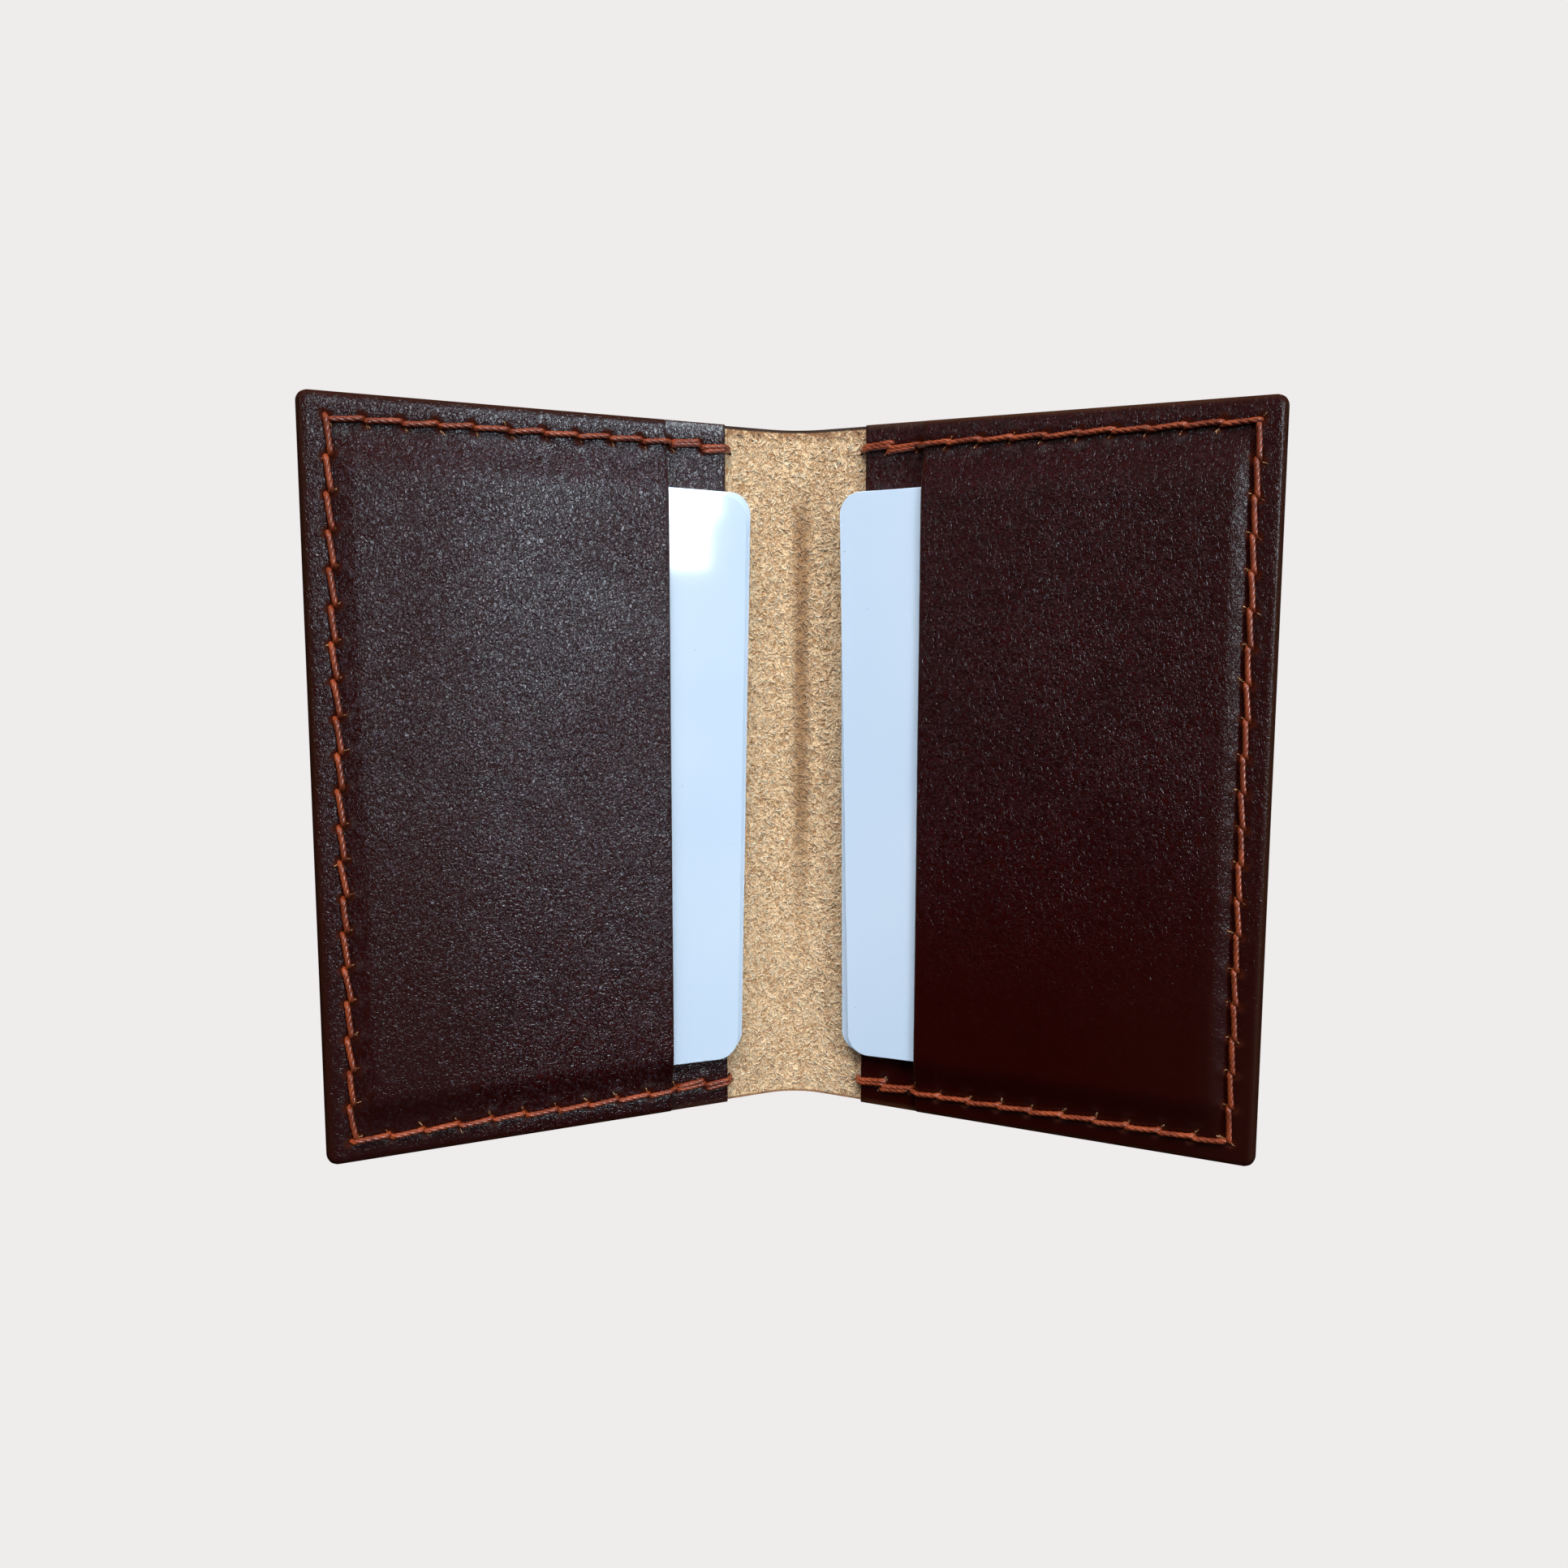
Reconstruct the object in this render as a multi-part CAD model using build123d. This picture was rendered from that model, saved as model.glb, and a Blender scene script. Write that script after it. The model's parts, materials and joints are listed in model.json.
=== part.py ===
from build123d import *
import math
import os

# A bifold card holder in vegetable-tanned leather, standing open on its lower edges.
# Millimetres, +Z up. The fold is at the back (+Y) and the two covers open towards -Y.
# The origin is under the middle of the whole holder's box, on the surface it stands on.

# ---- driving dimensions ---------------------------------------------------------------
HEIGHT = 103.7            # every leather layer is cut to this height
SHELL_T = 1.4             # outer shell leather
LINER_T = 1.1             # underlay and front pocket leather
COVER_WIDTH = 58.6        # from the underlay's open edge to the cover's outer edge
STRIP_WIDTH = 9.5         # underlay left in view beside the front pocket
CORNER_R = 1.5            # outer corners, seen square on
EDGE_R = 1.05             # burnished arris, front and back

FOLD_ANGLE = 24.4         # how far each cover leans forward from lying flat
FOLD_HALF = 4.25          # half the distance between the two fold lines
BARE_WIDTH = 7.2          # bare shell between a fold line and the underlay
FOLD_GAP = 0.15           # half the slit that stands for a fold line, at the inner face
FOLD_BEVEL = 13.0         # each side of that slit leans away, so the holder can lie flat

SEAM_INSET = 3.5          # stitch line, from the outer, upper and lower edges
SIDE_STITCHES = 20
END_STITCHES = 12         # along the upper edge, and again along the lower edge
LAST_HOLE = 0.82          # the end holes lie this far past the underlay's open edge
THREAD_D = 0.7
STRAND_GAP = 1.22         # between two strands, along the slit that they pass through
SLIT_WIDTH = 0.78
SLIT_SLANT = 45.0
TAIL_SHORT = 0.9          # a strand's trimmed end lies this far short of its last hole
BEND_R = THREAD_D / 2 + 0.05  # the strand's middle line turns into a hole on this arc

POCKET_ROOM = 1.82        # the front pocket stands this far off the underlay
POCKET_SLOPE = 2.4        # width of the slope from the seam up to that height
SIDE_SLOPE = 1.2          # the same slope beside the outer edge, where the cards stop
SLOPE_OUTSIDE = (0.8, 0.85)   # where it starts inside the end seams and the side seam
SLOPE_INSIDE = (1.25, 0.65)   # the same, on the flesh side

CARD_WIDTH = 53.98
CARD_HEIGHT = 85.6
CARD_T = 0.76
CARD_R = 3.18
# Each card: how far it stands out past the underlay, its middle height and its tilt.
CARDS = {
    "card_left_front": (1.85, 50.9, 1.15),
    "card_left_rear": (2.85, 51.5, 1.15),
    "card_right_front": (2.25, 51.3, 1.35),
    "card_right_rear": (3.25, 52.3, 0.15),
}

CUT_PAST = 1.0            # cutting solids reach this far past the leather

# ---- worked out from them -------------------------------------------------------------
# A cover is drawn flat: X runs from the fold line outwards, Y up, and Z out of the
# shell's inner face towards the reader. The shell is below Z = 0 and the pockets above.
LEAN = math.radians(FOLD_ANGLE)
UNDERLAY_EDGE = BARE_WIDTH
POCKET_EDGE = UNDERLAY_EDGE + STRIP_WIDTH
OUTER_EDGE = UNDERLAY_EDGE + COVER_WIDTH
POCKET_FACE = 2 * LINER_T
CARD_GAP = (POCKET_ROOM - 2 * CARD_T) / 3

SPINE_R = FOLD_HALF / math.sin(LEAN)
SPINE_RISE = SPINE_R - SPINE_R * math.cos(LEAN)

# The foremost point is on the rounded arris of the outer edge, and the rearmost is the
# middle of the spine. The fold lines go where those two lie evenly about the origin.
FRONT_REACH = (
    (OUTER_EDGE - EDGE_R) * math.sin(LEAN)
    + (POCKET_FACE - EDGE_R) * math.cos(LEAN)
    + EDGE_R
)
BACK_REACH = SPINE_RISE + SHELL_T
FOLD_Y = (FRONT_REACH - BACK_REACH) / 2

RIGHT_COVER = Plane(
    origin=(FOLD_HALF, FOLD_Y, 0),
    x_dir=(math.cos(LEAN), -math.sin(LEAN), 0),
    z_dir=(-math.sin(LEAN), -math.cos(LEAN), 0),
)


# ---- leather --------------------------------------------------------------------------
def blank(inner_edge, low, high):
    """One flat leather layer, with its two outer corners rounded."""
    width = OUTER_EDGE - inner_edge
    outline = Pos(inner_edge + width / 2, HEIGHT / 2) * Rectangle(width, HEIGHT)
    outline = fillet(outline.vertices().sort_by(Axis.X)[-2:], CORNER_R)
    return extrude(Pos(0, 0, low) * outline, high - low)


def round_arris(layer, outward):
    """Round the three outer arrises on one face, and leave the spine side square."""
    face_edges = layer.edges().group_by(Axis.Z)[-1 if outward > 0 else 0]
    return fillet(face_edges.sort_by(Axis.X)[1:], EDGE_R)


def stitch_holes():
    """Hole centres and seam directions, from the upper spine end round to the lower."""
    first = UNDERLAY_EDGE - LAST_HOLE
    last = OUTER_EDGE - SEAM_INSET
    low = SEAM_INSET
    high = HEIGHT - SEAM_INSET
    holes = []
    for i in range(END_STITCHES + 1):
        holes.append((first + (last - first) * i / END_STITCHES, high, 0))
    for i in range(1, SIDE_STITCHES + 1):
        holes.append((last, high - (high - low) * i / SIDE_STITCHES, -90))
    for i in range(1, END_STITCHES + 1):
        holes.append((last - (last - first) * i / END_STITCHES, low, 180))
    return holes


HOLES = stitch_holes()
LAST = len(HOLES) - 1
LOCK_HOLES = (1, LAST - 1)            # four strands pass through each of these
TAIL_HOLES = (2, LAST - 2)            # the strands are trimmed beside these
STRAND_REACH = STRAND_GAP / 2         # a strand's place along its slit, from the middle
LOCK_REACH = STRAND_REACH + STRAND_GAP


def slit_cutter():
    """All the slanted slits of one cover, as one tool that cuts through every layer."""
    slits = []
    for hole, (x, y, heading) in enumerate(HOLES):
        reach = LOCK_REACH if hole in LOCK_HOLES else STRAND_REACH
        slit = Rectangle(2 * reach + SLIT_WIDTH, SLIT_WIDTH)
        slits.append(Pos(x, y) * Rot(0, 0, heading + SLIT_SLANT) * slit)
    depth = SHELL_T + POCKET_FACE + 2 * CUT_PAST
    return extrude(Pos(0, 0, -SHELL_T - CUT_PAST) * Sketch(children=slits), depth)


def shell_panel(slits):
    """The part of the outer shell that one cover carries, from its fold line outwards."""
    panel = round_arris(blank(FOLD_GAP, -SHELL_T, 0), -1)
    back = FOLD_GAP + SHELL_T * math.tan(math.radians(FOLD_BEVEL))
    wedge = make_face(
        Polyline((FOLD_GAP, 0), (FOLD_GAP, -SHELL_T), (back, -SHELL_T), close=True)
    )
    return panel - extrude(Plane.XZ * wedge, -HEIGHT) - slits


def underlay(slits):
    """The flat layer between the shell and the front pocket: the back pocket's wall."""
    return blank(UNDERLAY_EDGE, 0, LINER_T) - slits


def raised_block(slope_start, base):
    """The room over the cards, as a block with a slope on its three stitched sides."""
    end_start, side_start = slope_start
    top = base + POCKET_ROOM
    inner = POCKET_EDGE - CUT_PAST
    foot = base - CUT_PAST
    low = SEAM_INSET + end_start
    high = HEIGHT - low
    side = OUTER_EDGE - SEAM_INSET - side_start
    rise = make_face(
        Polyline(
            (low, foot),
            (low, base),
            (low + POCKET_SLOPE, top),
            (high - POCKET_SLOPE, top),
            (high, base),
            (high, foot),
            close=True,
        )
    )
    run = make_face(
        Polyline(
            (inner, foot),
            (inner, top),
            (side - SIDE_SLOPE, top),
            (side, base),
            (side, foot),
            close=True,
        )
    )
    return extrude(Plane.YZ * rise, OUTER_EDGE) & extrude(Plane.XZ * run, -HEIGHT)


def front_pocket(slits):
    """The front pocket: sewn flat round three sides and moulded up over the cards."""
    rim = round_arris(blank(POCKET_EDGE, LINER_T, POCKET_FACE), 1)
    outside = raised_block(SLOPE_OUTSIDE, POCKET_FACE)
    strip_side = Pos(POCKET_EDGE / 2, HEIGHT / 2) * Box(POCKET_EDGE, HEIGHT, HEIGHT)
    inside = raised_block(SLOPE_INSIDE, LINER_T)
    return rim + (outside - strip_side) - inside - slits


# ---- thread ---------------------------------------------------------------------------
def along_slit(x, y, heading, along):
    """A point moved along the slanted slit of a hole."""
    slant = math.radians(heading + SLIT_SLANT)
    return x + along * math.cos(slant), y + along * math.sin(slant)


def face_height(x):
    """How high the layers stand on the seam line, at a distance from the fold line."""
    if x < UNDERLAY_EDGE:
        return 0.0
    return LINER_T if x < POCKET_EDGE else POCKET_FACE


def strand(leads_in_front):
    """The route of one of the two strands of a saddle stitch.

    It runs through every hole, in front of one stitch and behind the next, and at each
    end it turns back for two stitches, which locks the seam. The other strand does the
    same on the opposite faces.
    """
    visits = [2, 1, *range(LAST + 1), LAST - 1, LAST - 2]
    own_end = 1 if leads_in_front else -1
    route = []
    for k, ends in enumerate(zip(visits, visits[1:])):
        in_front = (k % 2 == 0) == leads_in_front
        turned_back = k < 2 or k >= LAST + 2
        level = -SHELL_T - THREAD_D / 2
        if in_front:
            level = max(face_height(HOLES[hole][0]) for hole in ends) + THREAD_D / 2
        for hole, goes_in_front in zip(ends, (in_front, not in_front)):
            x, y, heading = HOLES[hole]
            along = STRAND_REACH if goes_in_front else -STRAND_REACH
            if turned_back and hole in LOCK_HOLES:
                along = LOCK_REACH * own_end
            if turned_back and hole in TAIL_HOLES:
                x -= TAIL_SHORT
                along = STRAND_GAP * own_end
            route.append((*along_slit(x, y, heading, along), level))
    return route


def thread(leads_in_front):
    """A strand as a round cord, bent at each hole on an arc just over its own radius."""
    route = FilletPolyline(*strand(leads_in_front), radius=BEND_R)
    start = Plane(origin=route @ 0, z_dir=route % 0)
    return sweep(start * Circle(THREAD_D / 2), path=route)


# ---- cards ----------------------------------------------------------------------------
def card(stands_out, middle, tilt, layer):
    """A blank card with round corners, in the front pocket."""
    low = LINER_T + CARD_GAP + layer * (CARD_T + CARD_GAP)
    centre = UNDERLAY_EDGE - stands_out + CARD_WIDTH / 2
    outline = RectangleRounded(CARD_WIDTH, CARD_HEIGHT, CARD_R)
    return extrude(Pos(centre, middle, low) * Rot(0, 0, tilt) * outline, CARD_T)


# ---- spine ----------------------------------------------------------------------------
def spine_strip():
    """The middle of the shell, gently arched between the two fold lines."""
    centre_y = FOLD_Y - SPINE_R * math.cos(LEAN)
    inner_end = LEAN - FOLD_GAP / SPINE_R
    outer_r = SPINE_R + SHELL_T
    lean_back = SHELL_T * math.tan(math.radians(FOLD_BEVEL))
    outer_end = inner_end - lean_back / outer_r

    def at(radius, angle):
        return (radius * math.sin(angle), centre_y + radius * math.cos(angle))

    inner = ThreePointArc(at(SPINE_R, -inner_end), at(SPINE_R, 0), at(SPINE_R, inner_end))
    outer = ThreePointArc(at(outer_r, outer_end), at(outer_r, 0), at(outer_r, -outer_end))
    right = Line(inner @ 1, outer @ 0)
    left = Line(outer @ 1, inner @ 0)
    return extrude(make_face([inner, right, outer, left]), HEIGHT)


# ---- the holder -----------------------------------------------------------------------
def place(piece, side):
    """Stand a flat piece up on its own side of the holder."""
    right = RIGHT_COVER.location * piece
    return right if side == "right" else mirror(right, about=Plane.YZ)


def build():
    slits = slit_cutter()
    flat = {
        "shell_panel": shell_panel(slits),
        "underlay": underlay(slits),
        "front_pocket": front_pocket(slits),
        "saddle_thread_a": thread(True),
        "saddle_thread_b": thread(False),
    }
    nodes = {"spine_strip": spine_strip()}
    for side in ("left", "right"):
        for name, piece in flat.items():
            nodes[f"{name}_{side}"] = place(piece, side)
    for name, (stands_out, middle, tilt) in CARDS.items():
        layer = 1 if name.endswith("front") else 0
        side = "left" if "_left_" in name else "right"
        nodes[name] = place(card(stands_out, middle, tilt, layer), side)
    return nodes


os.makedirs("parts", exist_ok=True)
for node_name, shape in build().items():
    export_step(shape, f"parts/{node_name}.step")
    print(node_name, round(shape.volume, 2))
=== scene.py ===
# %% [markdown]
# # A saddle-stitched card holder
# Two stiff leather covers open like a book round a bare suede spine. Each cover is three
# layers sewn round three sides: the shell behind, a flat underlay, and a front pocket that
# has taken the shape of its two cards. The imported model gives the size, the fold lines and
# the bodies that move, and every piece below is laid on those.

# %% Load the frame
import json
import math
import random

import bpy
import numpy as np
from mathutils import Matrix, Vector, noise


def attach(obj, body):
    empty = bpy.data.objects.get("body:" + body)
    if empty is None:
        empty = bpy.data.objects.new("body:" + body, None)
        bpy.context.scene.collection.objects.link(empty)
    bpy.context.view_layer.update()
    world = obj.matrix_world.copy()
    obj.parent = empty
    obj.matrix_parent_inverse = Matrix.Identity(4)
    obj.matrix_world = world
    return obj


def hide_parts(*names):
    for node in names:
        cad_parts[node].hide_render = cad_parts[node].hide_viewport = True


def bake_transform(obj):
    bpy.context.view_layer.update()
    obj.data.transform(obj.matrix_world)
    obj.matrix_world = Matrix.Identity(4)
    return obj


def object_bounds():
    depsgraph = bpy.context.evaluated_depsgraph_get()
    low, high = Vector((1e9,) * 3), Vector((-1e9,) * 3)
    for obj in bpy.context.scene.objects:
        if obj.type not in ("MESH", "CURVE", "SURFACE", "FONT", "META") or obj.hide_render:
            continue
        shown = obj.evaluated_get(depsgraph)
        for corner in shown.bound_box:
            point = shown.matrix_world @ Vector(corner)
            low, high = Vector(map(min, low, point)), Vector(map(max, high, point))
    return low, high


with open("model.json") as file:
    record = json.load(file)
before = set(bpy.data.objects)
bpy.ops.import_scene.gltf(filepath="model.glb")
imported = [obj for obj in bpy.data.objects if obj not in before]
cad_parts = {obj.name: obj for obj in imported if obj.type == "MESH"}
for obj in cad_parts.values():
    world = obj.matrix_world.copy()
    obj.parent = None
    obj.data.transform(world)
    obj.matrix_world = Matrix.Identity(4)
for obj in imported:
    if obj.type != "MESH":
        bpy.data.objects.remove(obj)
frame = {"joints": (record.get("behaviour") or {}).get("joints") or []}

CAD_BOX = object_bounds()
MM = 0.001

# %% [markdown]
# ## Measures
# Work is easier in the maker's own millimetres, on a cover laid flat. `u` runs from the
# fold line to the outer edge, `z` up the holder, and `w` out of the shell's inner face
# towards the reader. The fold line and the lean of a cover are read from the hinge.

# %% Measures of the leather
HINGE = {j["name"]: j for j in frame["joints"]}["fold_right"]
FOLD_X, FOLD_Y = (1000 * v for v in HINGE["pos_m"][:2])
LEAN = math.radians(HINGE["range_deg"][1])
HEIGHT = 1000 * CAD_BOX[1].z
SPINE_R = FOLD_X / math.sin(LEAN)
SPINE_Y = FOLD_Y - SPINE_R * math.cos(LEAN)
SPINE_ARC = SPINE_R * LEAN

SHELL_T = 1.4
LINER_T = 1.1
UNDERLAY_EDGE = 7.2
POCKET_EDGE = 16.7
OUTER_EDGE = 65.8
CORNER_R = 1.5
POCKET_FACE = 2 * LINER_T
POCKET_LIFT = 1.22
CARD_ROOM = 2.68

SEAM_INSET = 3.5
END_STITCHES = 12
SIDE_STITCHES = 20
LAST_HOLE = 0.82
SLIT_SLANT = 62.0
THREAD_R = 0.4

SIDES = ("left", "right")
SIGN = {"left": -1, "right": 1}
print(f"lean {math.degrees(LEAN):.1f} deg, height {HEIGHT:.1f} mm")


# %% From a flat cover to the standing holder
def stand(side, u, z, w):
    """Points of a flat cover, in millimetres, as places in the holder, in metres."""
    u, z, w = np.broadcast_arrays(*(np.asarray(v, float) for v in (u, z, w)))
    turn = LEAN + np.minimum(u, 0) / SPINE_R
    out = np.maximum(u, 0)
    x = FOLD_X * (u >= 0) + out * math.cos(LEAN)
    y = FOLD_Y * (u >= 0) - out * math.sin(LEAN)
    bent = u < 0
    x = np.where(bent, (SPINE_R - w) * np.sin(turn), x - w * math.sin(LEAN))
    y = np.where(bent, SPINE_Y + (SPINE_R - w) * np.cos(turn), y - w * math.cos(LEAN))
    return np.stack([SIGN[side] * x, y, z], -1) * MM


def smooth(t):
    """0 before 0, 1 after 1, and an even ease between."""
    t = np.clip(t, 0, 1)
    return t * t * (3 - 2 * t)


def ripple(points, scale, seed):
    """Soft noise from -1 to 1 at places in metres; scale is waves in a millimetre."""
    shift = Vector((seed * 7.31, seed * 3.17, seed * 5.77))
    k = scale / MM
    return np.array([noise.noise(Vector(p) * k + shift) for p in points])


print("middle of the spine at y", np.round(stand("right", -SPINE_ARC, 0, 0)[1] / MM, 2))

# %% [markdown]
# ## The stitch holes
# The holes are pricked with a slanted iron, so each is a short slit at an angle to the
# seam. One list of holes serves everything that meets at the seam: the dimples in the
# leather, the slits, the torn fibres and the thread. Each hole strays a little, because
# the seam is sewn by hand, and the seed keeps it the same each time.


# %% Stitch holes
def prick(side):
    """Hole centres and seam headings in degrees, from the upper spine end round."""
    stray = random.Random({"left": 11, "right": 23}[side])
    first = UNDERLAY_EDGE - LAST_HOLE
    last = OUTER_EDGE - SEAM_INSET
    low, high = SEAM_INSET, HEIGHT - SEAM_INSET
    holes = []
    for i in range(END_STITCHES + 1):
        holes.append((first + (last - first) * i / END_STITCHES, high, 0))
    for i in range(1, SIDE_STITCHES + 1):
        holes.append((last, high - (high - low) * i / SIDE_STITCHES, -90))
    for i in range(1, END_STITCHES + 1):
        holes.append((last - (last - first) * i / END_STITCHES, low, 180))
    moved = []
    for u, z, heading in holes:
        amount = 0.5 if u < POCKET_EDGE else 1.0
        du = stray.uniform(-0.11, 0.11) * amount
        dz = stray.uniform(-0.09, 0.09) * amount
        moved.append((u + du, z + dz, heading))
    return moved


HOLES = {side: prick(side) for side in SIDES}
LAST = len(HOLES["left"]) - 1
print(LAST + 1, "holes in each cover")


# %% Relief that the seam presses into the leather
def from_seam(u, z):
    """Distance in the flat from the seam line, which runs round three sides."""
    last, high = OUTER_EDGE - SEAM_INSET, HEIGHT - SEAM_INSET
    over = np.maximum(u - last, 0)
    beside = np.maximum(np.abs(z - HEIGHT / 2) - (high - HEIGHT / 2), 0)
    ends = np.hypot(over, np.minimum(abs(z - high), abs(z - SEAM_INSET)))
    return np.minimum(ends, np.hypot(beside, u - last))


def hole_relief(side, u, z):
    """Depth of the dimples and height of the pads beside the holes, with their shade."""
    sunk = np.zeros_like(u)
    pad = np.zeros_like(u)
    shade = np.zeros_like(u)
    for hu, hz, heading in HOLES[side]:
        near = (np.abs(u - hu) < 3) & (np.abs(z - hz) < 3)
        du, dz = u[near] - hu, z[near] - hz
        slant = math.radians(heading + SLIT_SLANT)
        along = du * math.cos(slant) + dz * math.sin(slant)
        across = dz * math.cos(slant) - du * math.sin(slant)
        sunk[near] += np.exp(-((along / 0.85) ** 2) - (across / 0.42) ** 2)
        out = math.radians(heading + 90)
        inward = -(du * math.cos(out) + dz * math.sin(out))
        run = du * math.cos(out - math.pi / 2) + dz * math.sin(out - math.pi / 2)
        pad[near] += np.exp(-(((inward - 1.45) / 0.6) ** 2) - ((run + 0.3) / 0.8) ** 2)
        pad[near] += 0.5 * np.exp(-(((inward + 1.3) / 0.5) ** 2) - ((run - 0.4) / 0.8) ** 2)
        shade[near] += np.exp(-((along / 1.25) ** 2) - (across / 0.75) ** 2)
    return np.minimum(sunk, 1), pad, np.minimum(shade, 1)


def seam_relief(side, u, z):
    """How far the seam lowers or raises a face, in millimetres."""
    sunk, pad, _ = hole_relief(side, u, z)
    groove = np.exp(-((from_seam(u, z) / 0.62) ** 2))
    return 0.15 * pad - 0.36 * sunk - 0.12 * groove


# %% [markdown]
# ## Leather as a closed slab
# A layer of leather is a thin slab with a face, an underside, a burnished edge round the
# outside and a plain cut on the spine side. A boolean or a solidified plane would leave
# ragged corners, so the slab is written as one grid for the face, whose outermost rings
# roll over the edge, and one for the underside that shares its border.
# The edge of all three layers together is one dome, as sanding and burnishing leave it.


# %% The burnished dome shared by the layers
def dome_inset(w):
    """How far the rubbed edge lies inside the outline at a height in the stack."""
    return 0.8 * (1 - math.sqrt(max(0.0, 1 - ((w - 0.4) / 1.8) ** 2)))


def edge_rings(heights, crack):
    """Steps down the dome, the last one drawn in a little so that the layers part."""
    rings = [(dome_inset(w), w) for w in heights]
    d, w = rings[-1]
    return rings[:-1] + [(d + crack, w)]


def steps(*stops):
    """Grid lines: pairs of a place and the spacing up to the next place."""
    lines = []
    for (a, spacing), (b, _) in zip(stops, stops[1:]):
        count = max(1, round((b - a) / spacing))
        lines.extend(a + (b - a) * i / count for i in range(count))
    return lines + [stops[-1][0]]


# %% Slab builder
class Slab:
    """One leather layer of one cover. `facing` is 1 if its face looks at the reader."""

    def __init__(self, side, columns, rows, rings, wall, facing):
        self.side, self.facing = side, facing
        self.ring_d = np.array([0.0] + [d for d, _ in rings])
        self.ring_w = np.array([0.0] + [w for _, w in rings])
        count = len(rings)
        ring_u = [OUTER_EDGE - d for d, _ in rings]
        low = [d for d, _ in reversed(rings)]
        high = [HEIGHT - d for d, _ in rings]
        self.u = np.array([u for u, _ in wall] + list(columns) + ring_u)
        self.fall = np.array([f for _, f in wall] + [0.0] * (len(columns) + count))
        self.ku = np.array([0] * (len(wall) + len(columns)) + list(range(1, count + 1)))
        self.z = np.array(low + list(rows) + high)
        self.kz = np.array(
            list(range(count, 0, -1)) + [0] * len(rows) + list(range(1, count + 1))
        )

    def lay_out(self, under):
        """Flat places of the grid points; the underside's stay inside its border."""
        u, z = np.meshgrid(self.u, self.z)
        ring = np.maximum(*np.meshgrid(self.ku, self.kz))
        last = len(self.ring_d) - 1
        inset = self.ring_d[ring]
        if under:
            inset = np.maximum(inset, self.ring_d[last] + 0.02 * (last - ring))
            inset = np.where(ring > 0, inset, 0)
            u = np.minimum(u, OUTER_EDGE - self.ring_d[last] - 0.02 * (last - self.ku))
            tight = self.ring_d[last] + 0.02 * (last - self.kz[:, None])
            z = np.clip(z, tight, HEIGHT - tight)
        x = u - (OUTER_EDGE - CORNER_R)
        y = np.abs(z - HEIGHT / 2) - (HEIGHT / 2 - CORNER_R)
        corner = (x > 0) & (y > 0)
        reach = np.where(ring > 0, CORNER_R - inset, np.maximum(x, y))
        scale = np.where(corner, reach / np.maximum(np.hypot(x, y), 1e-9), 1)
        u = np.where(corner, OUTER_EDGE - CORNER_R + x * scale, u)
        half = HEIGHT / 2 - CORNER_R + y * scale
        z = np.where(corner, HEIGHT / 2 + np.sign(z - HEIGHT / 2) * half, z)
        return u, z, ring

    def mesh(self, name, face, underside):
        """The closed mesh, given the heights of the face and of the underside."""
        u, z, ring = self.lay_out(False)
        w = np.where(ring > 0, self.ring_w[ring], face(u, z))
        w = w * (1 - self.fall) + underside(u, z) * self.fall
        bu, bz, _ = self.lay_out(True)
        bw = underside(bu, bz)
        rows, cols = u.shape
        top = np.arange(rows * cols).reshape(rows, cols)
        back = top.copy()
        inner = (rows - 2) * (cols - 2)
        back[1:-1, 1:-1] = rows * cols + np.arange(inner).reshape(rows - 2, cols - 2)
        flat = [
            np.concatenate([a.ravel(), b[1:-1, 1:-1].ravel()])
            for a, b in ((u, bu), (z, bz), (w, bw))
        ]
        quads = []
        flip = (self.side == "left") != (self.facing < 0)
        for grid, turned in ((top, flip), (back, not flip)):
            a, b = grid[:-1, :-1], grid[:-1, 1:]
            c, d = grid[1:, 1:], grid[1:, :-1]
            loop = (a, d, c, b) if turned else (a, b, c, d)
            quads.append(np.stack([v.ravel() for v in loop], -1))
        self.face_count = len(quads[0])
        self.flat = flat
        return new_piece(name, stand(self.side, *flat), np.concatenate(quads))


def new_piece(name, points, faces, sharp=52):
    """A mesh object at the origin, shaded smooth but for edges over an angle."""
    data = bpy.data.meshes.new(name)
    data.from_pydata(points.tolist(), [], [list(map(int, f)) for f in faces])
    data.polygons.foreach_set("use_smooth", [True] * len(data.polygons))
    data.set_sharp_from_angle(angle=math.radians(sharp))
    piece = bpy.data.objects.new(name, data)
    bpy.context.scene.collection.objects.link(piece)
    return piece


def paint(piece, name, values):
    """Give every vertex a number that the material can read."""
    layer = piece.data.attributes.new(name, "FLOAT", "POINT")
    layer.data.foreach_set("value", np.asarray(values, np.float32).ravel())


def rubbed(u, z, inner):
    """1 at the outline, 0 a few millimetres in: where handling and wax show."""
    edge = np.minimum(OUTER_EDGE - u, np.minimum(z, HEIGHT - z))
    return np.maximum(np.clip(1 - edge / 2.4, 0, 1), np.clip(1 - (u - inner) / 0.5, 0, 1))


def paint_wear(piece, slab, inner, shade=1.0):
    """Paint where a layer is rubbed and what lies beside its holes."""
    u, z, _ = slab.flat
    _, pad, dark = hole_relief(slab.side, u, z)
    paint(piece, "rubbed", rubbed(u, z, inner))
    paint(piece, "hole_shade", dark * shade)
    # The pads' mask, which the leather uses for a painted highlight.
    paint(piece, "hole_pad_highlight", pad)


def report(piece):
    """Say what a piece measures."""
    tris = sum(len(p.vertices) - 2 for p in piece.data.polygons)
    size = " x ".join(f"{v / MM:.1f}" for v in piece.dimensions)
    print(f"{piece.name}: {tris} triangles, {size} mm")


# %% [markdown]
# ## Nodes by expression
# A finish is a small sum: grain here, less of it where the edge is rubbed. Written as
# Python, such a sum stays readable. `Tap` wraps one socket, so `1 - rubbed * 0.3` adds its
# Math nodes, and `add` makes any other node, with its settings before its sockets.


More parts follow.
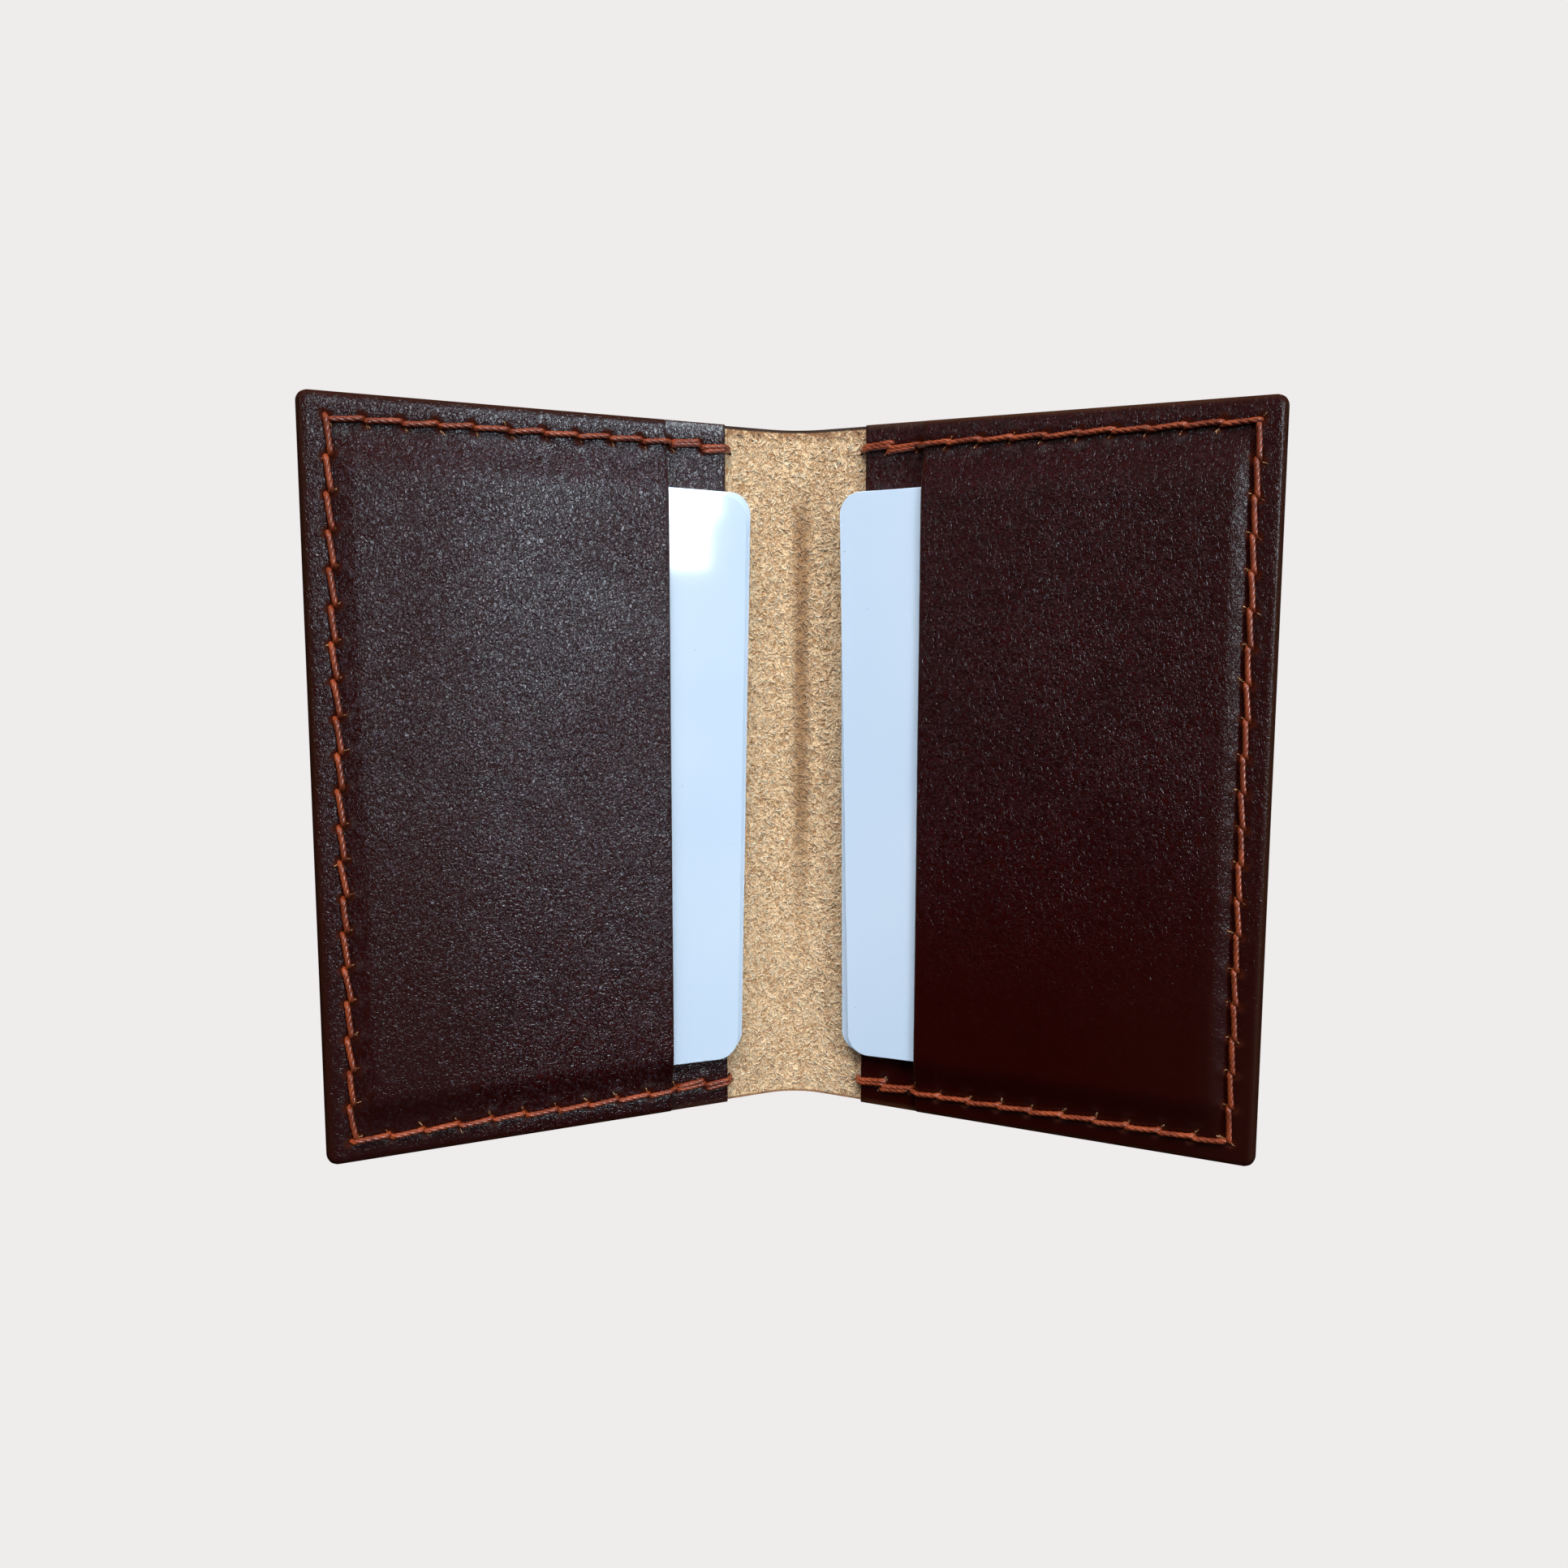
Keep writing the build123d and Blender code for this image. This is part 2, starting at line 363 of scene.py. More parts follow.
# %% Socket wrapper
class Tap:
    """One output of a node tree; arithmetic on it adds Math nodes."""

    def __init__(self, tree, socket):
        self.tree, self.socket = tree, socket

    def math(self, operation, first, second=0.0):
        return add(self.tree, "ShaderNodeMath", {"operation": operation}, {0: first, 1: second})

    def __add__(self, other):
        return self.math("ADD", self, other)

    def __sub__(self, other):
        return self.math("SUBTRACT", self, other)

    def __rsub__(self, other):
        return self.math("SUBTRACT", other, self)

    def __mul__(self, other):
        return self.math("MULTIPLY", self, other)

    def __truediv__(self, other):
        return self.math("DIVIDE", self, other)

    __radd__, __rmul__ = __add__, __mul__

    def size(self):
        return self.math("ABSOLUTE", self)

    def ramp(self, low, high, to_low=0.0, to_high=1.0):
        """Eased from to_low at low to to_high at high."""
        return add(
            self.tree,
            "ShaderNodeMapRange",
            {"interpolation_type": "SMOOTHSTEP"},
            {0: self, 1: low, 2: high, 3: to_low, 4: to_high},
        )


def add(tree, kind, settings=None, sockets=None, output=0):
    """A node of a kind: its settings, then its socket values or links. Gives one output."""
    node = tree.nodes.new(kind)
    for key, value in (settings or {}).items():
        setattr(node, key, value)
    for key, value in (sockets or {}).items():
        if isinstance(value, Tap):
            tree.links.new(value.socket, node.inputs[key])
        else:
            node.inputs[key].default_value = value
    return Tap(tree, node.outputs[output])


def part_of(vector, axis):
    """One coordinate of a vector."""
    return add(vector.tree, "ShaderNodeSeparateXYZ", None, {0: vector}, "XYZ".index(axis))


# %% Finishes
class Finish:
    """A Principled material, with its patterns in millimetres of the piece itself."""

    def __init__(self, name, **constants):
        self.material = bpy.data.materials.new(name)
        self.material.use_nodes = True
        self.tree = self.material.node_tree
        self.tree.nodes.clear()
        self.shader = self.tree.nodes.new("ShaderNodeBsdfPrincipled")
        output = self.tree.nodes.new("ShaderNodeOutputMaterial")
        self.tree.links.new(self.shader.outputs[0], output.inputs[0])
        for key, value in constants.items():
            self.shader.inputs[key.replace("_", " ")].default_value = value
        place = self.add("ShaderNodeTexCoord", output=3)
        to_mm = {0: place, 3: 1 / MM}
        self.place = self.add("ShaderNodeVectorMath", {"operation": "SCALE"}, to_mm)

    def add(self, kind, settings=None, sockets=None, output=0):
        return add(self.tree, kind, settings, sockets, output)

    def turned(self, angles, scale=(1, 1, 1), shift=(0, 0, 0)):
        """The millimetre coordinates turned and stretched."""
        turn = tuple(math.radians(a) for a in angles)
        return self.add(
            "ShaderNodeMapping", None, {0: self.place, 1: shift, 2: turn, 3: scale}
        )

    def noise(self, per_mm, detail=2.0, rough=0.5, swirl=0.0, place=None):
        sockets = {"Vector": place or self.place, "Scale": per_mm, "Detail": detail}
        sockets.update({"Roughness": rough, "Distortion": swirl})
        return self.add("ShaderNodeTexNoise", None, sockets)

    def cells(self, per_mm, feature="F1", place=None, random_=1.0):
        sockets = {"Vector": place or self.place, "Scale": per_mm, "Randomness": random_}
        return self.add("ShaderNodeTexVoronoi", {"feature": feature}, sockets)

    def painted(self, name):
        """A number painted on the piece's vertices."""
        return self.add("ShaderNodeAttribute", {"attribute_name": name}, output=2)

    def tint(self, share, first, second, blend="MIX"):
        """Two colours, or colour sockets, mixed by a share."""
        settings = {"data_type": "RGBA", "blend_type": blend}
        colours = [c if isinstance(c, Tap) else (*c, 1.0) for c in (first, second)]
        sockets = {0: share, 6: colours[0], 7: colours[1]}
        return self.add("ShaderNodeMix", settings, sockets, 2)

    def bump(self, height, depth_mm, strength=1.0, normal=None):
        sockets = {"Strength": strength, "Distance": depth_mm * MM, "Height": height}
        if normal:
            sockets["Normal"] = normal
        return self.add("ShaderNodeBump", None, sockets)

    def matt(self, share, colour):
        """Where the share is high, a dull surface shows instead."""
        dull = self.tree.nodes.new("ShaderNodeBsdfPrincipled")
        self.tree.links.new(colour.socket, dull.inputs["Base Color"])
        dull.inputs["Roughness"].default_value = 0.75
        dull.inputs["Specular IOR Level"].default_value = 0.08
        output = next(n for n in self.tree.nodes if n.bl_idname == "ShaderNodeOutputMaterial")
        shaders = [Tap(self.tree, s.outputs[0]) for s in (self.shader, dull)]
        both = self.add("ShaderNodeMixShader", None, {0: share, 1: shaders[0], 2: shaders[1]})
        self.tree.links.new(both.socket, output.inputs[0])
        return self.material

    def set(self, **links):
        for key, tap in links.items():
            self.tree.links.new(tap.socket, self.shader.inputs[key.replace("_", " ")])
        return self.material


# %% [markdown]
# ## Dark waxed leather
# The covers are vegetable-tanned hide, dyed dark red-brown and waxed. Its look comes from
# a fine pebble grain that sparkles under the light, cloudy dye, darker red dye that gathers
# round the holes, and edges rubbed smooth. The grain is too fine to be mesh: cells
# stretched along the hide's diagonal feed a Bump node, and each cell's valley is darkened
# as painted shade. The sparkle is partly the bump under the lamps and partly a pale bluish
# painted glint on the grain's tops, strongest on the upper left cover. The shine is uneven,
# as on a used piece: the outer margins are dulled by handling, a second, matt shader takes
# over in the dye stains, and the lower right is rubbed flat. The lower right of the right
# cover also carries painted shade, darker and redder, the pads beside the holes carry a
# painted highlight, and the rubbed edge is lighter, partly its own colour and partly a
# painted highlight that is stronger on the right cover.


# %% Leather finish
def waxed_leather(name, slant, dye, red_dye, shift):
    finish = Finish(name, Specular_IOR_Level=0.5, Coat_Roughness=0.34, Coat_IOR=1.42)
    grain_place = finish.turned((0, slant, 0), (1.35, 1.0, 0.95), shift)
    swirl = finish.noise(0.9, 1.0, place=grain_place)
    pebbles = finish.cells(1.8, "SMOOTH_F1", grain_place)
    creases = finish.cells(1.35, "DISTANCE_TO_EDGE", grain_place)
    worms = finish.noise(1.35, 1.0, 0.5, 0.7, grain_place)
    fine = finish.noise(5.5, 1.0, 0.6, place=grain_place)
    meander = (worms - 0.5).size().ramp(0.0, 0.11)
    valley = meander * (0.5 + creases.ramp(0.0, 0.16) * 0.5)
    relief = valley * 0.42 + (1 - pebbles) * 0.3 + worms * 0.7 + fine * 0.2
    worn = finish.painted("rubbed")
    near_hole = finish.painted("hole_shade")
    cloud = finish.noise(0.045, 3.0, 0.55, 0.6)
    patch = finish.noise(0.22, 2.0, 0.5, 0.4)
    right = part_of(finish.place, "X").ramp(-2, 18)
    low = part_of(finish.place, "Z").ramp(4, 64, 1.0, 0.0)
    rubbed_flat = right * (0.22 + low * 0.7) + (1 - right) * low * 0.5
    smoothed = cloud.ramp(0.35, 0.68, 1.0, 0.7) * (1 - worn * 0.6) * (1 - rubbed_flat)
    normal = finish.bump(relief * smoothed, 0.21)
    bend = finish.bump(patch + swirl * 0.4, 0.22, 0.35, normal)
    base = finish.tint(cloud.ramp(0.32, 0.7), red_dye, dye)
    base = finish.tint(patch.ramp(0.4, 0.75) * 0.45, base, tuple(1.7 * c for c in dye))
    # Darker in the grain's creases: painted shade.
    base = finish.tint((1 - valley) * 0.75, base, tuple(0.25 * c for c in dye))
    # A pale bluish painted glint on the grain's tops, strongest on the upper left and faded
    # towards the right, the bottom, the edges and the holes.
    painted_glint = worms.ramp(0.5, 0.68) * valley + (1 - pebbles).ramp(0.55, 0.8) * 0.5
    painted_glint = painted_glint * (1 - rubbed_flat) * (1 - worn)
    painted_glint = painted_glint * (1 - right * 0.7) * (1 - near_hole)
    base = finish.tint(painted_glint * 0.62, base, (0.056, 0.040, 0.054))
    # A painted highlight on the raised pads beside the holes.
    pad = finish.painted("hole_pad_highlight") * swirl.ramp(0.35, 0.62, 0.0, 0.6)
    base = finish.tint(pad, base, (0.07, 0.055, 0.058))
    base = finish.tint(near_hole * 0.9, base, (0.034, 0.0044, 0.0018))
    # Painted shade: the lower right of the right cover is darker and redder.
    base = finish.tint(right * low * 0.85, base, (0.019, 0.0010, 0.0001))
    base = finish.tint(worn.ramp(0.45, 0.95) * 0.8, base, (0.030, 0.009, 0.004))
    # A lighter brown on the rubbed edge: partly the edge's own colour, and a painted highlight
    # that makes it stronger on the right cover.
    base = finish.tint(worn.ramp(0.6, 0.98) * (0.25 + right * 0.5), base, (0.060, 0.021, 0.007))
    rough = 0.22 + fine * 0.07 + patch * 0.07
    coat = worn.ramp(0.3, 0.9) * 0.25
    finish.set(Base_Color=base, Roughness=rough, Normal=bend, Coat_Weight=coat)
    soaked = (near_hole * (0.55 + swirl * 0.9)).ramp(0.14, 0.46) * 0.92
    outer = part_of(finish.place, "X").size()
    handled = outer.ramp(38, 52) * (0.32 + low * 0.25) * (1 - right * 0.6)
    handled = handled + right * outer.ramp(54.5, 57) * 0.35
    dull = soaked + (1 - soaked) * handled
    stain = finish.tint(soaked, (0.021, 0.0030, 0.0016), (0.050, 0.0080, 0.0028))
    return finish.matt(dull, stain)


POCKET_LEATHER = waxed_leather(
    "waxed_pocket_leather", 34, (0.023, 0.0010, 0.0008), (0.030, 0.0004, 0.0001), (3, 1, 8)
)
SHELL_LEATHER = waxed_leather(
    "waxed_shell_leather", -28, (0.022, 0.0014, 0.0010), (0.028, 0.0008, 0.0003), (11, 5, 2)
)
print("finishes:", POCKET_LEATHER.name, SHELL_LEATHER.name)

# %% [markdown]
# ## Raw suede
# The flesh side of the shell is left bare in the spine: cream tan, matted with short
# curling fibres. Colour comes from two sizes of cloud, darker where the nap parts, which is
# partly the suede's own tone and partly painted shade between the fibres. It is darker
# again along the crease, as painted shade, and by the dyed upper edge. Real fibres are
# added as mesh later, because a bump alone looks like plaster when seen from the side.


# %% Suede finish
CREASE_X = 0.9


def suede(name, pale, shadow):
    finish = Finish(name, Specular_IOR_Level=0.15, Sheen_Weight=0.25, Sheen_Roughness=0.6)
    curl = finish.noise(0.7, 3.0, 0.6, 0.8)
    nap = finish.noise(1.55, 2.0, 0.62, 1.7)
    fleck = finish.noise(4.6, 2.0, 0.7, 0.8)
    across = part_of(finish.place, "X")
    up = part_of(finish.place, "Z")
    off_crease = (across - CREASE_X + curl * 0.8 - 0.4).size()
    crease = off_crease.ramp(0.2, 2.3, 1.0, 0.0) * up.ramp(18, 50) * up.ramp(88, 97, 1, 0)
    dyed = up.ramp(HEIGHT - 2.2, HEIGHT - 0.6) * curl.ramp(0.36, 0.54)
    # The shadow colour where the nap parts, and the darker flecks, are partly the suede's own
    # tone and partly painted shade between the fibres.
    soft = finish.tint(nap.ramp(0.36, 0.62), shadow, pale)
    soft = finish.tint(curl.ramp(0.4, 0.72) * 0.35, soft, tuple(1.12 * c for c in pale))
    soft = finish.tint(fleck.ramp(0.5, 0.33, 0, 0.55), soft, tuple(0.62 * c for c in shadow))
    # Painted shade along the crease, over the shallow groove in the mesh.
    soft = finish.tint(crease * 0.8, soft, (0.33, 0.165, 0.06))
    soft = finish.tint(dyed * 0.85, soft, (0.27, 0.105, 0.03))
    rim = up.ramp(HEIGHT - 0.62, HEIGHT - 0.36)
    soft = finish.tint(rim, soft, (0.04, 0.016, 0.005))
    soft = finish.tint(up.ramp(0.25, 0.5, 1, 0) * 0.85, soft, (0.24, 0.10, 0.035))
    normal = finish.bump(nap * 0.7 + fleck * 0.5, 0.28, 0.8)
    return finish.set(Base_Color=soft, Roughness=0.8 + nap * 0.2, Normal=normal)


SUEDE = suede("raw_suede", (1.0, 0.73, 0.44), (0.42, 0.21, 0.08))
FIBRE = suede("suede_fibre", (1.0, 0.92, 0.71), (0.72, 0.43, 0.20))
print("finishes:", SUEDE.name, FIBRE.name)

# %% [markdown]
# ## The shell
# One piece of hide makes both covers and the spine. It bends at two fold lines, and a
# mesh here can only bend between two bodies, so the shell is cut down the middle of the
# spine, where nothing moves, into two halves. The grain side, the burnished edge and the
# suede side are one closed slab.

# %% Build the shell
SHELL_RINGS = edge_rings((-1.36, -1.25, -1.05, -0.75, -0.4, -0.07, 0.0), 0.05)


def shell_face(side):
    def face(u, z):
        return -SHELL_T - seam_relief(side, u, z) * 0.8
    return face


def suede_face(side):
    def face(u, z):
        sunk, _, _ = hole_relief(side, u, z)
        places = stand(side, u, z, 0).reshape(-1, 3)
        nap = ripple(places, 0.55, 3) * 0.09 + ripple(places, 1.4, 5) * 0.07
        wave = ripple(places, 0.09, 8) * 0.22
        across = places[:, 0] / MM - CREASE_X
        up = places[:, 2] / MM
        crease = np.exp(-((across / 1.2) ** 2)) * smooth((up - 15) / 35) * smooth((98 - up) / 8)
        bare = smooth((UNDERLAY_EDGE - 0.6 - u) / 1.5)
        edge = smooth(np.minimum(z, HEIGHT - z) / 1.0)
        soft = (nap + wave - 0.22 * crease).reshape(u.shape)
        return -0.03 + bare * edge * soft - 0.25 * sunk * (u < UNDERLAY_EDGE)
    return face


def build_shell(side):
    fold = -SPINE_ARC
    columns = steps((fold, 0.02), (fold + 0.02, 0.40), (8.0, 0.55), (58.5, 0.38), (64.55, 1))
    rows = steps((1.25, 0.38), (7.0, 0.46), (HEIGHT - 7.0, 0.38), (HEIGHT - 1.25, 1))
    wall = [(fold, 1.0), (fold, 0.5)]
    slab = Slab(side, columns, rows, SHELL_RINGS, wall, -1)
    piece = slab.mesh(f"shell_{side}", shell_face(side), suede_face(side))
    piece.data.materials.append(SHELL_LEATHER)
    piece.data.materials.append(SUEDE)
    index = np.zeros(len(piece.data.polygons), int)
    index[slab.face_count:] = 1
    piece.data.polygons.foreach_set("material_index", index)
    paint_wear(piece, slab, -20, 0.8)
    return piece


SHELL = {side: build_shell(side) for side in SIDES}
for side in SIDES:
    report(SHELL[side])

# %% [markdown]
# ## Underlay and front pocket
# The underlay is flat, and only its strip beside the pocket shows. The pocket has been
# wetted and pressed over its cards, so it lies flat at the seam, climbs a soft slope and
# stays nearly level over the cards. The slope is an eased product of two ramps, which
# rounds the inner corners as wet leather does.

# %% Heights of the pocket
SLOPE_START = 3.6
LOW_SLOPE, HIGH_SLOPE, SIDE_SLOPE = 6.0, 7.8, 3.2
LOW_UNDER, HIGH_UNDER, SIDE_UNDER = 3.6, 4.6, 1.6
UNDER_START = SLOPE_START + 0.3


def pocket_bulge(u, z):
    """How far the cards lift the pocket off the underlay."""
    low = smooth((z - SLOPE_START) / LOW_SLOPE)
    high = smooth((HEIGHT - SLOPE_START - z) / HIGH_SLOPE)
    side = smooth((OUTER_EDGE - SLOPE_START + 0.1 - u) / SIDE_SLOPE)
    return POCKET_LIFT * low * high * side


def pocket_face(side):
    def face(u, z):
        places = stand(side, u, z, 0).reshape(-1, 3)
        soft = ripple(places, 0.06, 21) * 0.09 + ripple(places, 0.25, 22) * 0.028
        inside = smooth((from_seam(u, z) - 0.8) / 3.0)
        return (
            POCKET_FACE
            + pocket_bulge(u, z)
            + seam_relief(side, u, z)
            + soft.reshape(u.shape) * inside
        )
    return face


def pocket_underside(u, z):
    """Close over the cards, and thinner on the slopes where the leather was pressed."""
    low = smooth((z - UNDER_START) / LOW_UNDER)
    high = smooth((HEIGHT - UNDER_START - z) / HIGH_UNDER)
    side = smooth((OUTER_EDGE - SLOPE_START - u) / SIDE_UNDER)
    return LINER_T + (CARD_ROOM - LINER_T) * low * high * side


def underlay_face(side):
    def face(u, z):
        covered = 0.03 * (u > POCKET_EDGE + 0.5)
        return LINER_T - covered + seam_relief(side, u, z) * (u < POCKET_EDGE + 0.8)
    return face


def flat_underside(u, z):
    return 0.0 * u


print("pocket stands", round(float(pocket_bulge(np.array(40.0), np.array(50.0))), 2), "mm high")

# %% Build underlays and pockets
POCKET_RINGS = edge_rings((2.16, 2.05, 1.85, 1.55, 1.2, 1.1), 0.05)
UNDERLAY_RINGS = [(0.15, 1.085), (0.08, 1.05), (0.02, 0.8), (0.0, 0.4), (0.02, 0.08), (0.07, 0.0)]


def cut_edge(at):
    """Columns down a cut edge whose arris is just broken: place and share of the fall."""
    return [(at + 0.06, 1.0), (at, 0.9), (at, 0.5), (at + 0.015, 0.16), (at + 0.08, 0.045)]


def build_layer(side, name, columns, rows, rings, inner, face, underside):
    """A layer that lies grain outwards on the shell, cut off at its inner edge."""
    slab = Slab(side, columns, rows, rings, cut_edge(inner), 1)
    piece = slab.mesh(f"{name}_leather_{side}", face(side), underside)
    piece.data.materials.append(POCKET_LEATHER)
    paint_wear(piece, slab, inner)
    return piece


def build_underlay(side):
    columns = steps((UNDERLAY_EDGE + 0.2, 0.34), (18.0, 4.0), (62.0, 1.2), (65.45, 1))
    rows = steps((0.4, 0.3), (6.4, 0.9), (HEIGHT - 6.4, 0.3), (HEIGHT - 0.4, 1))
    shape = UNDERLAY_RINGS, UNDERLAY_EDGE, underlay_face, flat_underside
    return build_layer(side, "underlay", columns, rows, *shape)


def build_pocket(side):
    columns = steps((POCKET_EDGE + 0.2, 0.43), (59.0, 0.3), (64.5, 1))
    rows = steps((1.3, 0.3), (6.1, 0.43), (HEIGHT - 6.1, 0.3), (HEIGHT - 1.3, 1))
    shape = POCKET_RINGS, POCKET_EDGE, pocket_face, pocket_underside
    return build_layer(side, "pocket", columns, rows, *shape)


UNDERLAY = {side: build_underlay(side) for side in SIDES}
POCKET = {side: build_pocket(side) for side in SIDES}
for side in SIDES:
    report(UNDERLAY[side])
    report(POCKET[side])

# %% [markdown]
# ## Geometry Nodes
# What repeats is made by trees: the plies of the thread, the slits, the torn lips and the
# suede fibres. Each tree has named inputs, ends in Realize Instances and Set Material,
# and is turned into plain mesh once, so that nothing live is left on a piece.


# %% Tree helpers
CIRCLE = "GeometryNodeCurvePrimitiveCircle"
INSTANCES = "GeometryNodeInstanceOnPoints"
VECTORS = "ShaderNodeVectorMath"
RANDOM = "FunctionNodeRandomValue"


def new_tree(name, inputs):
    """An empty tree with a geometry input, named number inputs and a geometry output."""
    tree = bpy.data.node_groups.new(name, "GeometryNodeTree")
    tree.interface.new_socket(name="Geometry", in_out="INPUT", socket_type="NodeSocketGeometry")
    for label, value in inputs.items():
        kind = "NodeSocketInt" if isinstance(value, int) else "NodeSocketFloat"
        tree.interface.new_socket(name=label, in_out="INPUT", socket_type=kind)
    tree.interface.new_socket(name="Geometry", in_out="OUTPUT", socket_type="NodeSocketGeometry")
    enter = tree.nodes.new("NodeGroupInput")
    return tree, {s.name: Tap(tree, s) for s in enter.outputs if s.name}


def end_tree(tree, shape, material):
    """Realize, shade smooth, set the material and lead to the output."""
    real = add(tree, "GeometryNodeRealizeInstances", None, {0: shape})
    soft = add(tree, "GeometryNodeSetShadeSmooth", None, {0: real})
    painted = add(tree, "GeometryNodeSetMaterial", None, {0: soft, "Material": material})
    leave = tree.nodes.new("NodeGroupOutput")
    tree.links.new(painted.socket, leave.inputs[0])


def grow(name, points, edges, tree, values, faces=(), marks=None):
    """Run a tree on a mesh of points, and keep what it makes as a plain mesh object."""
    seed = bpy.data.meshes.new(name + "_seed")
    seed.from_pydata([tuple(p) for p in points], edges, faces)
    for label, vectors in (marks or {}).items():
        layer = seed.attributes.new(label, "FLOAT_VECTOR", "POINT")
        layer.data.foreach_set("vector", np.asarray(vectors, np.float32).ravel())
    source = bpy.data.objects.new(name + "_seed", seed)
    bpy.context.scene.collection.objects.link(source)
    modifier = source.modifiers.new("grow", "NODES")
    modifier.node_group = tree
    for item in tree.interface.items_tree:
        if item.in_out == "INPUT" and item.name in values:
            modifier[item.identifier] = values[item.name]
    graph = bpy.context.evaluated_depsgraph_get()
    data = bpy.data.meshes.new_from_object(source.evaluated_get(graph))
    data.name = name
    bpy.data.objects.remove(source)
    piece = bpy.data.objects.new(name, data)
    bpy.context.scene.collection.objects.link(piece)
    return piece


# %% [markdown]
# ## Thread
# A saddle stitch is one waxed thread with a needle at each end. Both halves pass through
# every hole, one going to the front as the other goes to the back, and at the spine each
# turns back for two stitches, which doubles them. Each half is a route through the holes;
# a tree then lays three twisted plies along it.


# %% Where a strand goes
STRAND_REACH, LEANING_REACH = 0.2, 0.33
LOCK_REACH = STRAND_REACH + 0.6
TUCK = -0.02
TAIL_SHORT, TAIL_REACH = 0.5, 0.36
DIVE, DIVE_RUN = 0.8, 0.5
LOCK_HOLES = (1, LAST - 1)
TAIL_HOLES = (2, LAST - 2)


def along_slit(hole, amount):
    u, z, heading = hole
    slant = math.radians(heading + SLIT_SLANT)
    return u + amount * math.cos(slant), z + amount * math.sin(slant)


def rest_height(u, z):
    """Height of the leather that a front stitch rests on, without its dimples."""
    pocket = POCKET_FACE + pocket_bulge(u, z)
    return np.where(u < UNDERLAY_EDGE, 0.0, np.where(u < POCKET_EDGE, LINER_T, pocket))


def stitch(start, end, in_front, bow):
    """Points over one stitch, from where it leaves a hole to where it enters the next."""
    length = math.dist(start, end)
    t = np.linspace(0, 1, 15)
    side_step = bow * np.sin(np.pi * t)
    u = start[0] + (end[0] - start[0]) * t - side_step * (end[1] - start[1]) / length
    z = start[1] + (end[1] - start[1]) * t + side_step * (end[0] - start[0]) / length
    near_end = np.minimum(t, 1 - t) * length
    dive = DIVE * np.clip(1 - near_end / DIVE_RUN, 0, 1) ** 2
    if not in_front:
        return np.stack([u, z, -SHELL_T - THREAD_R * 0.72 + dive], -1)
    reach = np.linspace(-0.35, 0.35, 7)
    ahead = np.max([rest_height(u + r, z) for r in reach], axis=0)
    blur = np.convolve(np.pad(ahead, 2, mode="edge"), np.ones(5) / 5, "valid")
    level = np.maximum(blur, rest_height(u, z)) + THREAD_R * 0.78
    return np.stack([u, z, level - dive], -1)


def strand(side, leads_in_front):
    """The whole route of one half of the thread."""
    stray = random.Random({"left": 5, "right": 6}[side] + 10 * leads_in_front)
    lean = -SIGN[side]
    visits = [2, 1, *range(LAST + 1), LAST - 1, LAST - 2]
    own_end = 1 if leads_in_front else -1
    route = []
    for k, ends in enumerate(zip(visits, visits[1:])):
        in_front = (k % 2 == 0) == leads_in_front
        turned_back = k < 2 or k >= LAST + 2
        spots = []
        for number, goes_in_front in zip(ends, (in_front, not in_front)):
            u, z, heading = HOLES[side][number]
            leaning = side == "left" and u > OUTER_EDGE - SEAM_INSET - 0.4
            reach = LEANING_REACH if leaning else STRAND_REACH
            amount = reach if goes_in_front else -reach
            if turned_back and number in LOCK_HOLES:
                amount = LOCK_REACH * own_end
            if turned_back and number in TAIL_HOLES:
                u -= TAIL_SHORT
                amount = TAIL_REACH * own_end
            spots.append(along_slit((u, z, heading), amount * lean))
        (u0, z0), (u1, z1) = spots
        du, dz = TUCK * (u1 - u0), TUCK * (z1 - z0)
        spots = (u0 + du, z0 + dz), (u1 - du, z1 - dz)
        run = stitch(*spots, in_front, stray.uniform(-0.09, 0.09))
        inside = (run[0][2] - 0.5) if in_front else (run[0][2] + 0.5)
        if k == 0:
            route.append((run[0][0], run[0][1], inside))
        route.extend(map(tuple, run))
        if k == len(visits) - 2:
            route.append((run[-1][0], run[-1][1], inside))
    return stand(side, *np.array(route).T)


print(len(strand("left", True)), "points on a strand's route")


# %% Thread finish
def waxed_thread():
    finish = Finish("waxed_thread", Specular_IOR_Level=0.5, Coat_Weight=0.6, Coat_Roughness=0.22)
    fuzz = finish.noise(5.0, 3.0, 0.6)
    stretch = finish.noise(0.35, 2.0)
    base = finish.tint(stretch.ramp(0.35, 0.68), (0.15, 0.020, 0.004), (0.30, 0.050, 0.011))
    base = finish.tint(fuzz.ramp(0.42, 0.7) * 0.5, base, (0.37, 0.086, 0.026))
    # Darker in the fuzz's low spots, which the bump sinks: partly the thread's own tone and
    # partly painted shade.
    base = finish.tint(fuzz.ramp(0.46, 0.3) * 0.6, base, (0.075, 0.012, 0.004))
    normal = finish.bump(fuzz, 0.05, 0.6)
    rough = 0.36 + fuzz * 0.3
    return finish.set(Base_Color=base, Roughness=rough, Normal=normal)


THREAD = waxed_thread()

# %% Ply tree
PLY_INPUTS = {
    "Spacing": 0.19 * MM,
    "Ply radius": 0.29 * MM,
    "Coil radius": 0.125 * MM,
    "Pitch": 3.0 * MM,
}


